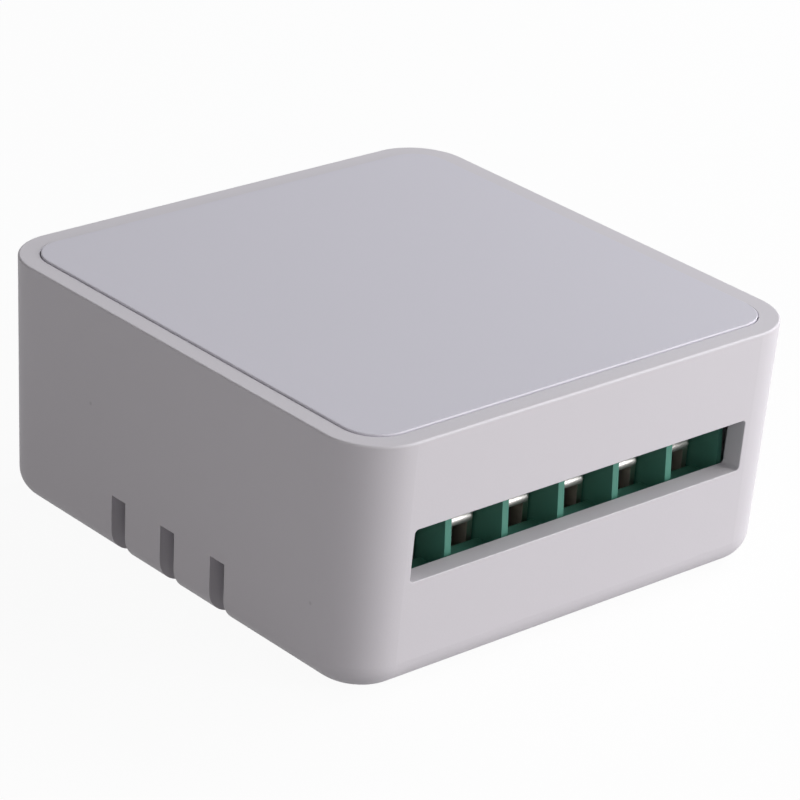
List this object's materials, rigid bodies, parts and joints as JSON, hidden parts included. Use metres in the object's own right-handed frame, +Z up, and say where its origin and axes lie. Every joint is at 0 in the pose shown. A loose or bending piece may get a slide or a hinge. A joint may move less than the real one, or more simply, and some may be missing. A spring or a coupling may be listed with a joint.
{
  "type": "smart curtain switch module",
  "caption": "Small square in-wall switch for a curtain motor: drafted white tub, inset back cover, screw terminals behind a wire slot, relays inside.",
  "frame": {"origin": "centre of the underside, the closed face with the screwdriver holes", "axes": "+Z up to the back cover, -Y out of the wire slot, +X to the right of the slot seen from the front"},
  "size_m": [0.0392, 0.0392, 0.018],
  "materials": {
    "housing_plastic": "fine matt moulded white ABS",
    "cover_plastic": "fine matt moulded white ABS",
    "board_laminate": "green solder mask over glass laminate",
    "terminal_plastic": "moulded green polyamide",
    "tinned_brass": "tinned brass",
    "screw_steel": "zinc plated steel",
    "cage_brass": "nickel plated brass",
    "relay_case_plastic": "blue moulded polyester",
    "relay_base_plastic": "black moulded polyester",
    "bobbin_plastic": "natural polyester",
    "copper_winding": "enamelled copper wire",
    "magnet_steel": "nickel plated soft iron",
    "contact_alloy": "copper alloy with silver contacts",
    "pin_metal": "tinned copper",
    "button_plastic": "matt white ABS",
    "switch_body_plastic": "black polyamide",
    "switch_stem_plastic": "black polyacetal",
    "clear_plastic": "clear polycarbonate",
    "led_lens": "milky epoxy lens",
    "capacitor_sleeve": "black heat-shrink sleeve",
    "ferrite": "sintered ferrite",
    "varistor_coat": "blue epoxy dip",
    "resistor_coat": "grey-green cement coating",
    "film_case": "yellow moulded case",
    "radio_laminate": "dark blue solder mask",
    "shield_metal": "tinned steel",
    "chip_epoxy": "moulded epoxy",
    "passive_ceramic": "ceramic chips",
    "solder": "tin solder"
  },
  "bodies": {
    "housing": {"board_chips": "chip_epoxy", "board_passives": "passive_ceramic", "bridge_rectifier": "chip_epoxy", "choke_core": "ferrite", "choke_winding": "copper_winding", "fuse_resistor": "resistor_coat", "housing_tub": "housing_plastic", "light_pipe": "clear_plastic", "main_board": "board_laminate", "mains_capacitor": "capacitor_sleeve", "output_capacitor": "capacitor_sleeve", "radio_board": "radio_laminate", "radio_chip": "chip_epoxy", "radio_header": "pin_metal", "radio_shield": "shield_metal", "relay_a_base": "relay_base_plastic", "relay_a_bobbin": "bobbin_plastic", "relay_a_case": "relay_case_plastic", "relay_a_coil_pins": "pin_metal", "relay_a_fixed_contacts": "contact_alloy", "relay_a_magnet_frame": "magnet_steel", "relay_a_winding": "copper_winding", "relay_b_base": "relay_base_plastic", "relay_b_bobbin": "bobbin_plastic", "relay_b_case": "relay_case_plastic", "relay_b_coil_pins": "pin_metal", "relay_b_fixed_contacts": "contact_alloy", "relay_b_magnet_frame": "magnet_steel", "relay_b_winding": "copper_winding", "snubber_capacitor_a": "film_case", "snubber_capacitor_b": "film_case", "solder_joints": "solder", "status_led": "led_lens", "tact_switch_body": "switch_body_plastic", "terminal_contacts": "tinned_brass", "terminal_housing": "terminal_plastic", "varistor": "varistor_coat"},
    "back_cover": {"lid_plate": "cover_plastic"},
    "button": {"pairing_button": "button_plastic"},
    "switch_stem": {"tact_switch_stem": "switch_stem_plastic"},
    "screw_1": {"terminal_screw_1": "screw_steel"},
    "cage_1": {"terminal_cage_1": "cage_brass"},
    "screw_2": {"terminal_screw_2": "screw_steel"},
    "cage_2": {"terminal_cage_2": "cage_brass"},
    "screw_3": {"terminal_screw_3": "screw_steel"},
    "cage_3": {"terminal_cage_3": "cage_brass"},
    "screw_4": {"terminal_screw_4": "screw_steel"},
    "cage_4": {"terminal_cage_4": "cage_brass"},
    "screw_5": {"terminal_screw_5": "screw_steel"},
    "cage_5": {"terminal_cage_5": "cage_brass"},
    "screw_6": {"terminal_screw_6": "screw_steel"},
    "cage_6": {"terminal_cage_6": "cage_brass"},
    "relay_a_lever": {"relay_a_armature": "magnet_steel", "relay_a_moving_contact": "contact_alloy"},
    "relay_b_lever": {"relay_b_armature": "magnet_steel", "relay_b_moving_contact": "contact_alloy"}
  },
  "joints": [
    {"name": "back_cover_lift", "type": "slide", "parent": "housing", "child": "back_cover", "axis": [0, 0, 1], "range_m": [0, 0.025]},
    {"name": "terminal_screw_1_turn", "type": "hinge", "parent": "housing", "child": "screw_1", "pos_m": [-0.0125, -0.013, 0.0055], "axis": [0, 0, -1], "range_deg": [0, 1800]},
    {"name": "terminal_cage_1_slide", "type": "slide", "parent": "housing", "child": "cage_1", "axis": [0, 0, 1], "range_m": [0, 0.0025]},
    {"name": "terminal_screw_2_turn", "type": "hinge", "parent": "housing", "child": "screw_2", "pos_m": [-0.0075, -0.013, 0.0055], "axis": [0, 0, -1], "range_deg": [0, 1800]},
    {"name": "terminal_cage_2_slide", "type": "slide", "parent": "housing", "child": "cage_2", "axis": [0, 0, 1], "range_m": [0, 0.0025]},
    {"name": "terminal_screw_3_turn", "type": "hinge", "parent": "housing", "child": "screw_3", "pos_m": [-0.0025, -0.013, 0.0055], "axis": [0, 0, -1], "range_deg": [0, 1800]},
    {"name": "terminal_cage_3_slide", "type": "slide", "parent": "housing", "child": "cage_3", "axis": [0, 0, 1], "range_m": [0, 0.0025]},
    {"name": "terminal_screw_4_turn", "type": "hinge", "parent": "housing", "child": "screw_4", "pos_m": [0.0025, -0.013, 0.0055], "axis": [0, 0, -1], "range_deg": [0, 1800]},
    {"name": "terminal_cage_4_slide", "type": "slide", "parent": "housing", "child": "cage_4", "axis": [0, 0, 1], "range_m": [0, 0.0025]},
    {"name": "terminal_screw_5_turn", "type": "hinge", "parent": "housing", "child": "screw_5", "pos_m": [0.0075, -0.013, 0.0055], "axis": [0, 0, -1], "range_deg": [0, 1800]},
    {"name": "terminal_cage_5_slide", "type": "slide", "parent": "housing", "child": "cage_5", "axis": [0, 0, 1], "range_m": [0, 0.0025]},
    {"name": "terminal_screw_6_turn", "type": "hinge", "parent": "housing", "child": "screw_6", "pos_m": [0.0125, -0.013, 0.0055], "axis": [0, 0, -1], "range_deg": [0, 1800]},
    {"name": "terminal_cage_6_slide", "type": "slide", "parent": "housing", "child": "cage_6", "axis": [0, 0, 1], "range_m": [0, 0.0025]},
    {"name": "pairing_button_press", "type": "slide", "parent": "housing", "child": "button", "axis": [0, 0, 1], "range_m": [0, 0.00035], "stiffness_N_per_m": 3000},
    {"name": "switch_stem_press", "type": "slide", "parent": "housing", "child": "switch_stem", "axis": [0, 0, 1], "range_m": [0, 0.00035]},
    {"name": "relay_a_armature_tilt", "type": "hinge", "parent": "housing", "child": "relay_a_lever", "pos_m": [-0.0109, -0.00455, 0.0033], "axis": [-1, 0, 0], "range_deg": [0, 3.6], "stiffness_Nm_per_rad": 0.005, "springref_deg": -5.73},
    {"name": "relay_b_armature_tilt", "type": "hinge", "parent": "housing", "child": "relay_b_lever", "pos_m": [-0.0003, -0.00455, 0.0033], "axis": [-1, 0, 0], "range_deg": [0, 3.6], "stiffness_Nm_per_rad": 0.005, "springref_deg": -5.73}
  ],
  "couplings": [
    {"joint": "terminal_screw_1_turn", "follows": "terminal_cage_1_slide", "rad_per_m": 12566},
    {"joint": "terminal_screw_2_turn", "follows": "terminal_cage_2_slide", "rad_per_m": 12566},
    {"joint": "terminal_screw_3_turn", "follows": "terminal_cage_3_slide", "rad_per_m": 12566},
    {"joint": "terminal_screw_4_turn", "follows": "terminal_cage_4_slide", "rad_per_m": 12566},
    {"joint": "terminal_screw_5_turn", "follows": "terminal_cage_5_slide", "rad_per_m": 12566},
    {"joint": "terminal_screw_6_turn", "follows": "terminal_cage_6_slide", "rad_per_m": 12566},
    {"joint": "switch_stem_press", "follows": "pairing_button_press", "ratio": 1}
  ]
}
